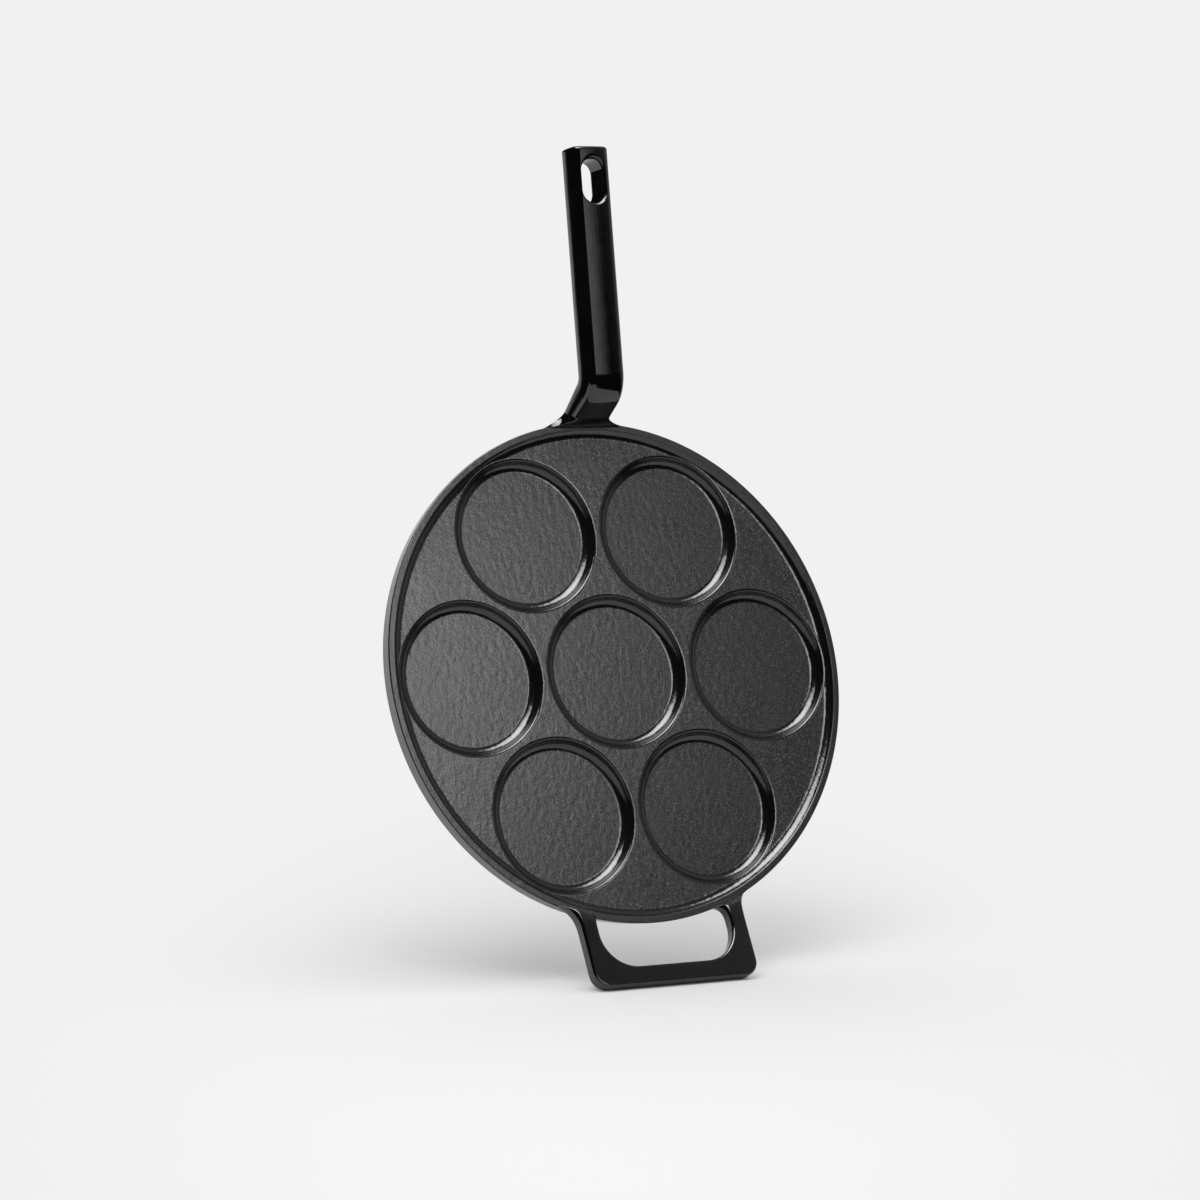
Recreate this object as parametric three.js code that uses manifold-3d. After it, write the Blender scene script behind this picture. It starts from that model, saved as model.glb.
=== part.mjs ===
// Multi-cup pancake pan: a round enamelled iron griddle with a middle cup and a ring of cups round it,
// a bar handle with a hang slot, and a short loop handle on the other side.
// Millimetres, +Z up. The origin is the middle of the flat base, and +Y points along the bar handle.

import * as THREE from 'three';
import { mergeVertices } from 'three/addons/utils/BufferGeometryUtils.js';
import Module from 'manifold-3d';

// Cups
const CUP_RADIUS = 40.5; // where the rounded lip meets the land
const CUP_DEPTH = 5; // from the land down to the cup's floor
const CUP_WALL_SLOPE = 55; // degrees from the floor
const CUP_FOOT_ROUND = 5.2;
const CUP_LIP_ROUND = 1.3;
const CUP_WEB = 2.8; // narrowest land between two cups
const OUTER_CUPS = 6;

// Rim, wall and base
const RIM_RISE = 2.8; // crest of the rim above the land
const RIM_WALL_SLOPE = 46; // degrees from the land
const RIM_FOOT_ROUND = 3.6;
const RIM_LIP_ROUND = 1.5;
const RIM_CREST_WIDTH = 2.3;
const RIM_EDGE_ROUND = 1.2;
const CUP_RIM_OVERLAP = 2.19; // how far an outer cup's lip runs into the foot of the rim
const FLOOR_THICKNESS = 3; // under a cup
const WALL_DRAFT = 8; // degrees from upright
const BASE_ROUND = 2;

// Enamel lining of the cooking face
const ENAMEL_THICKNESS = 0.5;
const SEAT_GAP = 0.3; // between two solids that are one on the real pan

// Bar handle
const HANDLE_REACH = 135.7; // tip beyond the rim, measured level
const HANDLE_TILT = 7.4; // degrees, rising towards the tip
const HANDLE_WIDTH = 20.8;
const HANDLE_THICKNESS = 16.2;
const HANDLE_EDGE_ROUND = 4;
const HANDLE_TIP_ROUND = 2.5;
const NECK_REACH = 13.9; // bend beyond the rim
const NECK_LIFT = 22.2; // bend above the crest of the rim
const NECK_SLOPE = 62; // degrees
const NECK_BEND_RADIUS = 12;
const NECK_THICKNESS = 14.5; // where the neck starts to flare
const NECK_FRONT_FLARE = 9; // height of the flare above the crest, on the cooking side
const NECK_BACK_FLARE = 6; // height of the flare above the base, on the outer side
const NECK_FLARE = 9; // footprint beyond the bar's width, each side
const SLOT_WIDTH = 12.3;
const SLOT_LENGTH = 22.5;
const SLOT_LIP_ROUND = 2.8;
const SLOT_FROM_TIP = 17.6; // middle of the slot to the tip

// Loop handle
const LOOP_WIDTH = 94.4;
const LOOP_THICKNESS = 7;
const LOOP_EDGE_ROUND = 1.3;
const LOOP_CORNER = 8;
const LOOP_REACH = 32.9; // from over the rim's edge to the end, along its slope
const LOOP_TILT = 13; // degrees, rising away from the pan
const LOOP_LIFT = 9.7; // top face above the crest, over the rim's edge
const FINGER_GAP_WIDTH = 76.6;
const FINGER_GAP_CORNER = 18.5;
const FINGER_BAR = 9.8; // width of the outer bar
const ARM_ROOT = 1; // from over the rim's edge to where an arm starts to flare
const ARM_FLARE_OUT = 9; // footprint beyond the arm's width, away from the gap
const ARM_FLARE_IN = 4; // the same towards the gap

// Footprints of the handles on the rim
const ROOT_CLEARANCE = 3.2; // from the base up the wall to a footprint's lowest edge
const ROOT_ROUND = 3.5; // corners of a footprint
const ROOT_SINK = 6; // depth of a root in the wall before it is trimmed

// Fineness of the facets
const PAN_SEGMENTS = 66;
const CUP_SEGMENTS = 30;
const ARC_STEP = 30; // degrees on rounded edges
const BEND_STEP = 10; // degrees along the neck's bend
const CORNER_STEPS = 3; // on a bar's rounded edges
const SLOT_STEPS = 6; // on each quarter of the slot's ends
const FLARE_STEPS = 6;
const LOOP_TURN_STEP = 12; // degrees round the gap's corners
const SKIN_STEP = 0.01; // for the direction of the pan's skin at a point
const OVERCUT = 5; // how far a cutting tool stands past what it cuts
const MERGE_TOLERANCE = 1e-5;

const rad = THREE.MathUtils.degToRad;
const wasm = await Module();
wasm.setup();

// Turns a closed geometry into a solid that can be joined and cut.
function solid(geometry) {
  geometry.deleteAttribute('normal');
  geometry.deleteAttribute('uv');
  const merged = mergeVertices(geometry, MERGE_TOLERANCE);
  const index = merged.index.array;
  const corners = [];
  for (let i = 0; i < index.length; i += 3) {
    const [a, b, c] = [index[i], index[i + 1], index[i + 2]];
    if (a !== b && b !== c && c !== a) corners.push(a, b, c);
  }
  const vertProperties = Float32Array.from(merged.attributes.position.array);
  const triVerts = Uint32Array.from(corners);
  return new wasm.Manifold(new wasm.Mesh({ numProp: 3, vertProperties, triVerts }));
}

function named(name, body, material) {
  const { vertProperties, triVerts } = body.getMesh();
  const geometry = new THREE.BufferGeometry();
  geometry.setAttribute('position', new THREE.BufferAttribute(vertProperties, 3));
  geometry.setIndex(new THREE.BufferAttribute(triVerts, 1));
  geometry.computeVertexNormals();
  const mesh = new THREE.Mesh(geometry, material);
  mesh.name = name;
  return mesh;
}

// Revolves a profile of [radius, height] points, from the axis round to the axis, about Z.
function revolve(profile, segments) {
  const points = profile.map(([radius, height]) => new THREE.Vector2(radius, height));
  return solid(new THREE.LatheGeometry(points, segments).rotateX(Math.PI / 2));
}

// Points of an arc in a flat outline, angles in degrees.
function arc(centre, radius, from, to, step = ARC_STEP) {
  const count = Math.max(1, Math.round(Math.abs(to - from) / step));
  const points = [];
  for (let i = 0; i <= count; i += 1) {
    const angle = rad(from + ((to - from) * i) / count);
    points.push([centre[0] + radius * Math.cos(angle), centre[1] + radius * Math.sin(angle)]);
  }
  return points;
}

// Outline of a rectangle with rounded corners, anticlockwise from its right side.
function roundedRectangle(left, right, low, high, round, steps = CORNER_STEPS) {
  const corners = [
    [right - round, high - round],
    [left + round, high - round],
    [left + round, low + round],
    [right - round, low + round],
  ];
  return corners.flatMap((centre, i) => arc(centre, round, 90 * i, 90 * (i + 1), 90 / steps));
}

// Joins rings of points into one closed skin, with a flat cap on each end ring.
// The rings run anticlockwise as seen from beyond the last one.
function loft(rings) {
  const count = rings[0].length;
  const position = rings.flat().flatMap((point) => point.toArray());
  const index = [];
  for (let r = 0; r + 1 < rings.length; r += 1) {
    for (let i = 0; i < count; i += 1) {
      const a = r * count + i;
      const b = r * count + ((i + 1) % count);
      index.push(a, b, b + count, a, b + count, a + count);
    }
  }
  const last = (rings.length - 1) * count;
  for (let i = 1; i + 1 < count; i += 1) {
    index.push(0, i + 1, i);
    index.push(last, last + i, last + i + 1);
  }
  const geometry = new THREE.BufferGeometry();
  geometry.setAttribute('position', new THREE.Float32BufferAttribute(position, 3));
  geometry.setIndex(index);
  return solid(geometry);
}

// A wall that rises from one flat to a higher one with a rounded foot and a rounded lip.
// The rounds shrink together where the rise is too low for them.
function easedWall(rise, slope, footRound, lipRound) {
  const turn = 1 - Math.cos(rad(slope));
  const fit = Math.min(1, rise / ((footRound + lipRound) * turn));
  const foot = footRound * fit;
  const lip = lipRound * fit;
  const straight = (rise - (foot + lip) * turn) / Math.sin(rad(slope));
  const run = (foot + lip) * Math.sin(rad(slope)) + straight * Math.cos(rad(slope));
  return { rise, slope, foot, lip, run };
}

const cupWall = easedWall(CUP_DEPTH, CUP_WALL_SLOPE, CUP_FOOT_ROUND, CUP_LIP_ROUND);
const rimWall = easedWall(RIM_RISE, RIM_WALL_SLOPE, RIM_FOOT_ROUND, RIM_LIP_ROUND);

// Sizes that follow from the cups and the rim's section
const LAND_HEIGHT = FLOOR_THICKNESS + CUP_DEPTH;
const CREST_HEIGHT = LAND_HEIGHT + RIM_RISE;
const CUP_PITCH = 2 * CUP_RADIUS + CUP_WEB;
const RIM_FOOT_RADIUS = CUP_PITCH + CUP_RADIUS - CUP_RIM_OVERLAP;
const CREST_RADIUS = RIM_FOOT_RADIUS + rimWall.run;
const RIM_RADIUS = CREST_RADIUS + RIM_CREST_WIDTH + RIM_EDGE_ROUND;

// The wall's points from its foot at [radius, height] upwards, sunk by a depth square to its surface.
function wallPoints(wall, radius, height, sunk) {
  const footCentre = [radius, height + wall.foot];
  const lipCentre = [radius + wall.run, height + wall.rise - wall.lip];
  return [
    ...arc(footCentre, wall.foot + sunk, -90, wall.slope - 90),
    ...arc(lipCentre, wall.lip - sunk, wall.slope + 90, 90),
  ];
}

// Everything above the cooking face, with the face sunk by a depth, out to an edge on the rim's crest.
function cookingSpace(sunk, edgeRadius, top) {
  const face = revolve([
    [0, LAND_HEIGHT - sunk],
    ...wallPoints(rimWall, RIM_FOOT_RADIUS, LAND_HEIGHT, sunk),
    [edgeRadius, CREST_HEIGHT - sunk],
    [edgeRadius, top],
    [0, top],
  ], PAN_SEGMENTS);
  const cup = revolve([
    [0, FLOOR_THICKNESS - sunk],
    ...wallPoints(cupWall, CUP_RADIUS - cupWall.run, FLOOR_THICKNESS, sunk),
    [CUP_RADIUS, top],
    [0, top],
  ], CUP_SEGMENTS);
  let space = face.add(cup);
  for (let i = 0; i < OUTER_CUPS; i += 1) {
    const angle = (2 * Math.PI * i) / OUTER_CUPS;
    space = space.add(cup.translate([CUP_PITCH * Math.cos(angle), CUP_PITCH * Math.sin(angle), 0]));
  }
  return space;
}

// The pan's outside in section, from the base up the drafted wall and in over the crest.
function outerSkin(grown) {
  const draft = rad(WALL_DRAFT);
  const crest = new THREE.Vector2(RIM_RADIUS - RIM_EDGE_ROUND, CREST_HEIGHT - RIM_EDGE_ROUND);
  const wallPlane = Math.cos(draft) * crest.x - Math.sin(draft) * crest.y + RIM_EDGE_ROUND;
  const baseX = (wallPlane - BASE_ROUND + Math.sin(draft) * BASE_ROUND) / Math.cos(draft);
  const path = new THREE.Path();
  path.absarc(baseX, BASE_ROUND, BASE_ROUND + grown, -Math.PI / 2, -draft, false);
  path.absarc(crest.x, crest.y, RIM_EDGE_ROUND + grown, -draft, Math.PI / 2, false);
  path.lineTo(RIM_FOOT_RADIUS, CREST_HEIGHT + grown);
  return path;
}

// The pan before its cooking face is sunk in, grown all round by a clearance.
function panBlank(grown) {
  const perArc = Math.round(90 / ARC_STEP);
  const outside = outerSkin(grown).getPoints(perArc / 2).map((point) => point.toArray());
  return revolve([[0, -grown], ...outside, [0, CREST_HEIGHT + grown]], PAN_SEGMENTS);
}

const skin = outerSkin(0);
const skinLength = skin.getLength();
const panOuter = panBlank(SEAT_GAP);

// A point of the pan's outside: sideways along X, and a distance up the skin from the base.
function onSkin(x, climb) {
  const at = skin.getPoint(climb / skinLength);
  return new THREE.Vector3(x, Math.sqrt(at.x ** 2 - x ** 2), at.y);
}

// Directions along a bar that slopes up away from the pan, and square to it.
const way = (slope) => new THREE.Vector3(0, Math.cos(rad(slope)), Math.sin(rad(slope)));
const above = (slope) => new THREE.Vector3(0, -Math.sin(rad(slope)), Math.cos(rad(slope)));

// One rounded section of a bar, square to its slope, with its skin drawn in by an inset.
function barSection(at, slope, width, thickness, edgeRound, inset) {
  const side = width / 2 - inset;
  const half = thickness / 2 - inset;
  return roundedRectangle(-side, side, -half, half, edgeRound - inset).map(([x, h]) => (
    at.clone().addScaledVector(above(slope), h).add(new THREE.Vector3(x, 0, 0))
  ));
}

// The flared root of a bar, from inside the wall out to the bar's first section.
// Each point of that section runs down along the bar, then out along the pan's skin to the footprint,
// as a cast fillet does. A tucked root turns in under itself at its lower edge.
function flaredRoot(section, slope, left, right, tucked) {
  const top = skinLength - (CREST_RADIUS - RIM_FOOT_RADIUS);
  const footprint = roundedRectangle(left, right, ROOT_CLEARANCE, top, ROOT_ROUND);
  const spread = roundedRectangle(-1, 1, -1, 1, 1);
  const paths = section.map((start, i) => {
    const [x, climb] = footprint[i];
    const [across, upwards] = spread[i];
    const end = onSkin(x, climb);
    const sideways = onSkin(x + SKIN_STEP, climb).sub(end).normalize();
    const upSkin = onSkin(x, climb + SKIN_STEP).sub(end).normalize();
    const inwards = new THREE.Vector3(-end.x, -end.y, 0).normalize();
    const outwards = sideways.multiplyScalar(across);
    if (tucked && upwards < 0) outwards.addScaledVector(inwards, -upwards);
    else outwards.addScaledVector(upSkin, upwards);
    const pull = start.distanceTo(end) / 2;
    return new THREE.CubicBezierCurve3(
      start,
      start.clone().addScaledVector(way(slope), -pull),
      end.clone().addScaledVector(outwards.normalize(), -pull),
      end,
    );
  });
  const sunk = footprint.map(([x, climb]) => {
    const end = onSkin(x, climb);
    const height = THREE.MathUtils.clamp(end.z, CREST_HEIGHT / 3, (2 * CREST_HEIGHT) / 3);
    return end.multiplyScalar(1 - ROOT_SINK / RIM_RADIUS).setZ(height);
  });
  const rings = [sunk];
  for (let i = FLARE_STEPS; i > 0; i -= 1) rings.push(paths.map((path) => path.getPoint(i / FLARE_STEPS)));
  return rings;
}

function panCasting() {
  const sunk = ENAMEL_THICKNESS + SEAT_GAP;
  return panBlank(0).subtract(cookingSpace(sunk, CREST_RADIUS + SEAT_GAP, CREST_HEIGHT + OVERCUT));
}

function cookingEnamel() {
  const outside = cookingSpace(ENAMEL_THICKNESS, CREST_RADIUS, CREST_HEIGHT + OVERCUT);
  const inside = cookingSpace(0, CREST_RADIUS + OVERCUT, CREST_HEIGHT + 2 * OVERCUT);
  return outside.subtract(inside);
}

// The hang slot's cutter: a long round-ended hole whose rim opens out towards both faces.
function slotCutter() {
  const half = HANDLE_THICKNESS / 2;
  const lip = arc([half - SLOT_LIP_ROUND, SLOT_LIP_ROUND], SLOT_LIP_ROUND, -90, 0);
  const oneSide = [...lip, [half + OVERCUT, SLOT_LIP_ROUND]];
  const bothSides = [...oneSide.map(([h, grown]) => [-h, grown]).reverse(), ...oneSide];
  return loft(bothSides.map(([height, grown]) => {
    const side = SLOT_WIDTH / 2 + grown;
    const end = SLOT_LENGTH / 2 + grown;
    const outline = roundedRectangle(-side, side, -end, end, side, SLOT_STEPS);
    return outline.map(([x, y]) => new THREE.Vector3(x, y, height));
  }));
}

// The neck's lowest section, cut on a slant: high on the cooking side and low on the outer side.
function neckFoot(bend) {
  const direction = way(NECK_SLOPE);
  const square = barSection(bend, NECK_SLOPE, HANDLE_WIDTH, NECK_THICKNESS, HANDLE_EDGE_ROUND, 0);
  return square.map((point) => {
    const share = point.clone().sub(bend).dot(above(NECK_SLOPE)) / NECK_THICKNESS + 0.5;
    const height = THREE.MathUtils.lerp(NECK_BACK_FLARE, CREST_HEIGHT + NECK_FRONT_FLARE, share);
    return point.addScaledVector(direction, (height - point.z) / direction.z);
  });
}

function longHandle() {
  const bend = new THREE.Vector3(0, RIM_RADIUS + NECK_REACH, CREST_HEIGHT + NECK_LIFT);
  const tangent = NECK_BEND_RADIUS * Math.tan(rad(NECK_SLOPE - HANDLE_TILT) / 2);
  const bendStart = bend.clone().addScaledVector(way(NECK_SLOPE), -tangent);
  const bendCentre = bendStart.clone().addScaledVector(above(NECK_SLOPE), -NECK_BEND_RADIUS);
  const sections = [neckFoot(bend)];
  const bendSteps = Math.round((NECK_SLOPE - HANDLE_TILT) / BEND_STEP);
  for (let i = 0; i <= bendSteps; i += 1) {
    const slope = THREE.MathUtils.lerp(NECK_SLOPE, HANDLE_TILT, i / bendSteps);
    const at = bendCentre.clone().addScaledVector(above(slope), NECK_BEND_RADIUS);
    sections.push(barSection(at, slope, HANDLE_WIDTH, HANDLE_THICKNESS, HANDLE_EDGE_ROUND, 0));
  }
  const runLength = (HANDLE_REACH - NECK_REACH) / way(HANDLE_TILT).y;
  for (const [along, clear] of arc([runLength - HANDLE_TIP_ROUND, 0], HANDLE_TIP_ROUND, 90, 0)) {
    const at = bend.clone().addScaledVector(way(HANDLE_TILT), along);
    const inset = HANDLE_TIP_ROUND - clear;
    sections.push(barSection(at, HANDLE_TILT, HANDLE_WIDTH, HANDLE_THICKNESS, HANDLE_EDGE_ROUND, inset));
  }
  const footHalf = HANDLE_WIDTH / 2 + NECK_FLARE;
  const root = flaredRoot(sections[0], NECK_SLOPE, -footHalf, footHalf, true);
  const slot = slotCutter()
    .translate([0, runLength - SLOT_FROM_TIP, 0])
    .rotate([HANDLE_TILT, 0, 0])
    .translate(bend.toArray());
  return loft([...root, ...sections].reverse()).subtract(slot).subtract(panOuter);
}

// A point of the loop: sideways, a distance from the rim along its slope, and a height over its top face.
function onLoop(x, reach, height) {
  return new THREE.Vector3(x, RIM_RADIUS, CREST_HEIGHT + LOOP_LIFT)
    .addScaledVector(way(LOOP_TILT), reach)
    .addScaledVector(above(LOOP_TILT), height);
}

// One rounded section of the loop, from its inner edge to its outer edge.
function loopSection(inner, outer) {
  const span = outer.clone().sub(inner);
  const outline = roundedRectangle(0, span.length(), -LOOP_THICKNESS, 0, LOOP_EDGE_ROUND);
  span.normalize();
  return outline.map(([along, height]) => {
    const at = inner.clone().addScaledVector(span, along);
    return onLoop(at.x, at.y, height);
  });
}

// Where a ray from inside the loop meets its outer edge: two straight sides and a round corner.
function loopEdge(from, ray) {
  const corner = new THREE.Vector2(LOOP_WIDTH / 2 - LOOP_CORNER, LOOP_REACH - LOOP_CORNER);
  const toSide = (LOOP_WIDTH / 2 - from.x) / ray.x;
  const toEnd = (LOOP_REACH - from.y) / ray.y;
  const square = from.clone().addScaledVector(ray, Math.min(toSide, toEnd));
  if (square.x <= corner.x || square.y <= corner.y) return square;
  const offset = from.clone().sub(corner);
  const nearest = -offset.dot(ray);
  const halfChord = Math.sqrt(LOOP_CORNER ** 2 - offset.lengthSq() + nearest ** 2);
  return from.clone().addScaledVector(ray, nearest + halfChord);
}

// Angles in radians round the gap's corner, with one at each facet of the outer corner.
function loopTurn(gapCentre) {
  const rounded = arc([LOOP_WIDTH / 2 - LOOP_CORNER, LOOP_REACH - LOOP_CORNER], LOOP_CORNER, 0, 90)
    .map(([x, y]) => Math.atan2(y - gapCentre.y, x - gapCentre.x));
  const spaced = (from, to) => {
    const count = Math.max(1, Math.round((to - from) / rad(LOOP_TURN_STEP)));
    return Array.from({ length: count }, (_, i) => from + ((to - from) * i) / count);
  };
  const last = rounded.pop();
  return [...spaced(0, rounded[0]), ...rounded, ...spaced(last, Math.PI / 2), Math.PI / 2];
}

// One sweep from root to root: up an arm, round the gap, along the outer bar and down the other arm.
function helperHandle() {
  const gap = FINGER_GAP_WIDTH / 2;
  const gapCentre = new THREE.Vector2(gap, LOOP_REACH - FINGER_BAR).subScalar(FINGER_GAP_CORNER);
  const sections = [
    loopSection(new THREE.Vector2(gap, ARM_ROOT), new THREE.Vector2(LOOP_WIDTH / 2, ARM_ROOT)),
  ];
  for (const angle of loopTurn(gapCentre)) {
    const ray = new THREE.Vector2(Math.cos(angle), Math.sin(angle));
    const inner = gapCentre.clone().addScaledVector(ray, FINGER_GAP_CORNER);
    sections.push(loopSection(inner, loopEdge(gapCentre, ray)));
  }
  const root = flaredRoot(sections[0], LOOP_TILT, gap - ARM_FLARE_IN, LOOP_WIDTH / 2 + ARM_FLARE_OUT, false);
  const half = [...root, ...sections];
  const otherHalf = half.map((ring) => ring.map((point) => new THREE.Vector3(-point.x, point.y, point.z)));
  return loft([...otherHalf, ...half.reverse()]).rotate([0, 0, 180]).subtract(panOuter);
}

const glossEnamel = () => new THREE.MeshStandardMaterial({ color: 0x0b0c0c, roughness: 0.12, metalness: 0 });
const satinEnamel = () => new THREE.MeshStandardMaterial({ color: 0x2c2f2e, roughness: 0.45, metalness: 0 });

const pan = new THREE.Group();
pan.add(named('pan_casting', panCasting(), glossEnamel()));
pan.add(named('cooking_enamel', cookingEnamel(), satinEnamel()));
pan.add(named('long_handle', longHandle(), glossEnamel()));
pan.add(named('helper_handle', helperHandle(), glossEnamel()));

export default pan;
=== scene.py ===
"""The finished look of a multi-cup pancake pan: one enamelled iron casting with a bar handle and a loop."""
import math

import bmesh
import bpy
from bpy.props import FloatProperty, FloatVectorProperty, IntProperty, PointerProperty
from mathutils import Matrix, Vector


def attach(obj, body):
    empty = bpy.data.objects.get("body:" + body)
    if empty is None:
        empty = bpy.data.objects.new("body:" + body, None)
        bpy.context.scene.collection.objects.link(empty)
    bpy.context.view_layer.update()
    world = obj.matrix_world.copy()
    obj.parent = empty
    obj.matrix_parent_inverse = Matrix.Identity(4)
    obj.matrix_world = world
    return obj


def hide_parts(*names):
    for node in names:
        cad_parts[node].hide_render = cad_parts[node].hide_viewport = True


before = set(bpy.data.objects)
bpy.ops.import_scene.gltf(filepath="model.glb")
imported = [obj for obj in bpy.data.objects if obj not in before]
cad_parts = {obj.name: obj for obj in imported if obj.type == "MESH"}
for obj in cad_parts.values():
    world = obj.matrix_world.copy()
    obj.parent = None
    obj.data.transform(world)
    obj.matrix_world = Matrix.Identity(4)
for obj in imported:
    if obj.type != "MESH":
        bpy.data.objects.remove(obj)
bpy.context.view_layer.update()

bl_info = {
    "name": "Pancake pan",
    "version": (1, 0, 0),
    "blender": (4, 5, 0),
    "location": "View3D > Sidebar > Pancake pan",
    "description": "Models an enamelled iron pancake pan and its studio stage",
    "category": "Add Mesh",
}

BODY = "root"
MM = 0.001


class PanSizes(bpy.types.PropertyGroup):
    """Sizes of the casting, in the same frame as its solids"""

    cup_radius: FloatProperty(
        name="Cup radius", description="Where a cup's lip meets the land", default=41.05 * MM, unit="LENGTH")
    cup_depth: FloatProperty(
        name="Cup depth", description="From the land down to a cup's floor", default=5.0 * MM, unit="LENGTH")
    cup_slope: FloatProperty(
        name="Cup wall slope", description="From the floor", default=math.radians(63), subtype="ANGLE")
    cup_foot: FloatProperty(
        name="Cup foot round", description="Hollow round at a cup's floor", default=5.2 * MM, unit="LENGTH")
    cup_lip: FloatProperty(
        name="Cup lip round", description="Round at a cup's lip", default=1.3 * MM, unit="LENGTH")
    cup_roll: FloatProperty(
        name="Cup lip roll", description="Slow round from lip to land", default=4.0 * MM, unit="LENGTH")
    cup_pitch: FloatProperty(
        name="Cup pitch", description="Middle cup to an outer cup", default=83.8 * MM, unit="LENGTH")
    outer_cups: IntProperty(name="Outer cups", description="Cups in the ring", default=6)
    floor_height: FloatProperty(
        name="Cup floor height", description="Iron under a cup", default=3.0 * MM, unit="LENGTH")
    rim_rise: FloatProperty(
        name="Rim rise", description="Crest above the land", default=2.8 * MM, unit="LENGTH")
    rim_slope: FloatProperty(
        name="Rim wall slope", description="From the land", default=math.radians(55.5), subtype="ANGLE")
    rim_foot: FloatProperty(
        name="Rim foot round", description="Hollow round at the rim's foot", default=5.5 * MM, unit="LENGTH")
    rim_lip: FloatProperty(
        name="Rim lip round", description="Round inside the crest", default=0.9 * MM, unit="LENGTH")
    rim_edge: FloatProperty(
        name="Rim edge round", description="Round outside the crest", default=0.6 * MM, unit="LENGTH")
    rim_foot_radius: FloatProperty(
        name="Rim foot radius", description="Where the land ends", default=122.2 * MM, unit="LENGTH")
    crest_radius: FloatProperty(
        name="Crest radius", description="Inner edge of the crest", default=127.5 * MM, unit="LENGTH")
    rim_radius: FloatProperty(
        name="Rim radius", description="Widest part of the pan", default=130.5 * MM, unit="LENGTH")
    wall_draft: FloatProperty(
        name="Wall draft", description="Lean of the outer wall", default=math.radians(8), subtype="ANGLE")
    base_round: FloatProperty(
        name="Base round", description="Round under the wall", default=2.0 * MM, unit="LENGTH")


class HandleSizes(bpy.types.PropertyGroup):
    """Sizes of the two handles"""

    bar_width: FloatProperty(name="Bar width", description="Across the bar", default=20.8 * MM, unit="LENGTH")
    bar_thickness: FloatProperty(
        name="Bar thickness", description="Through the bar", default=16.2 * MM, unit="LENGTH")
    bar_round: FloatProperty(
        name="Bar edge round", description="Round along the bar's edges", default=4.0 * MM, unit="LENGTH")
    bar_crown: FloatProperty(
        name="Bar crown", description="Swell of the bar's faces", default=0.25 * MM, unit="LENGTH")
    bar_reach: FloatProperty(
        name="Bar reach", description="Tip beyond the rim", default=135.7 * MM, unit="LENGTH")
    bar_tilt: FloatProperty(
        name="Bar tilt", description="Rise towards the tip", default=math.radians(7.4), subtype="ANGLE")
    tip_round: FloatProperty(
        name="Tip round", description="Round at the bar's end", default=1.6 * MM, unit="LENGTH")
    neck_reach: FloatProperty(
        name="Neck reach", description="Bend beyond the rim", default=13.9 * MM, unit="LENGTH")
    neck_lift: FloatProperty(
        name="Neck lift", description="Bend above the crest", default=22.2 * MM, unit="LENGTH")
    neck_slope: FloatProperty(
        name="Neck slope", description="Rise of the neck", default=math.radians(62), subtype="ANGLE")
    neck_bend: FloatProperty(
        name="Neck bend radius", description="Radius of the bend", default=12.0 * MM, unit="LENGTH")
    neck_thickness: FloatProperty(
        name="Neck thickness", description="Where the neck starts to flare", default=14.5 * MM, unit="LENGTH")
    neck_front: FloatProperty(
        name="Neck front flare", description="Height above the crest", default=11.0 * MM, unit="LENGTH")
    neck_back: FloatProperty(
        name="Neck back flare", description="Height above the base", default=6.0 * MM, unit="LENGTH")
    neck_flare: FloatProperty(
        name="Neck flare", description="Footprint beyond the bar", default=15.0 * MM, unit="LENGTH")
    slot_width: FloatProperty(name="Slot width", description="Hang slot", default=12.3 * MM, unit="LENGTH")
    slot_length: FloatProperty(name="Slot length", description="Hang slot", default=22.5 * MM, unit="LENGTH")
    slot_lip: FloatProperty(
        name="Slot lip round", description="Round at the slot's mouth", default=2.8 * MM, unit="LENGTH")
    slot_from_tip: FloatProperty(
        name="Slot from tip", description="Middle of the slot to the tip", default=17.6 * MM, unit="LENGTH")
    loop_width: FloatProperty(
        name="Loop width", description="Across the loop", default=94.4 * MM, unit="LENGTH")
    loop_thickness: FloatProperty(
        name="Loop thickness", description="Through the loop", default=7.0 * MM, unit="LENGTH")
    loop_round: FloatProperty(
        name="Loop edge round", description="Round along its edges", default=1.3 * MM, unit="LENGTH")
    loop_corner: FloatProperty(
        name="Loop corner", description="Outer corner radius", default=8.0 * MM, unit="LENGTH")
    loop_reach: FloatProperty(
        name="Loop reach", description="Rim's edge to the end", default=32.9 * MM, unit="LENGTH")
    loop_tilt: FloatProperty(
        name="Loop tilt", description="Rise away from the pan", default=math.radians(13), subtype="ANGLE")
    loop_lift: FloatProperty(
        name="Loop lift", description="Top face above the crest", default=9.7 * MM, unit="LENGTH")
    gap_width: FloatProperty(name="Gap width", description="Finger gap", default=76.6 * MM, unit="LENGTH")
    gap_corner: FloatProperty(
        name="Gap corner", description="Corner radius of the gap", default=18.5 * MM, unit="LENGTH")
    loop_bar: FloatProperty(
        name="Loop bar", description="Width of the outer bar", default=9.8 * MM, unit="LENGTH")
    arm_root: FloatProperty(
        name="Arm root", description="Where an arm starts to flare", default=2.0 * MM, unit="LENGTH")
    arm_flare_out: FloatProperty(
        name="Arm flare out", description="Footprint away from the gap", default=11.0 * MM, unit="LENGTH")
    arm_flare_in: FloatProperty(
        name="Arm flare in", description="Footprint towards the gap", default=8.0 * MM, unit="LENGTH")
    root_low: FloatProperty(
        name="Root clearance", description="Base to a root's lowest edge", default=3.2 * MM, unit="LENGTH")
    root_round: FloatProperty(
        name="Root round", description="Corners of a footprint", default=3.5 * MM, unit="LENGTH")


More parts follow.
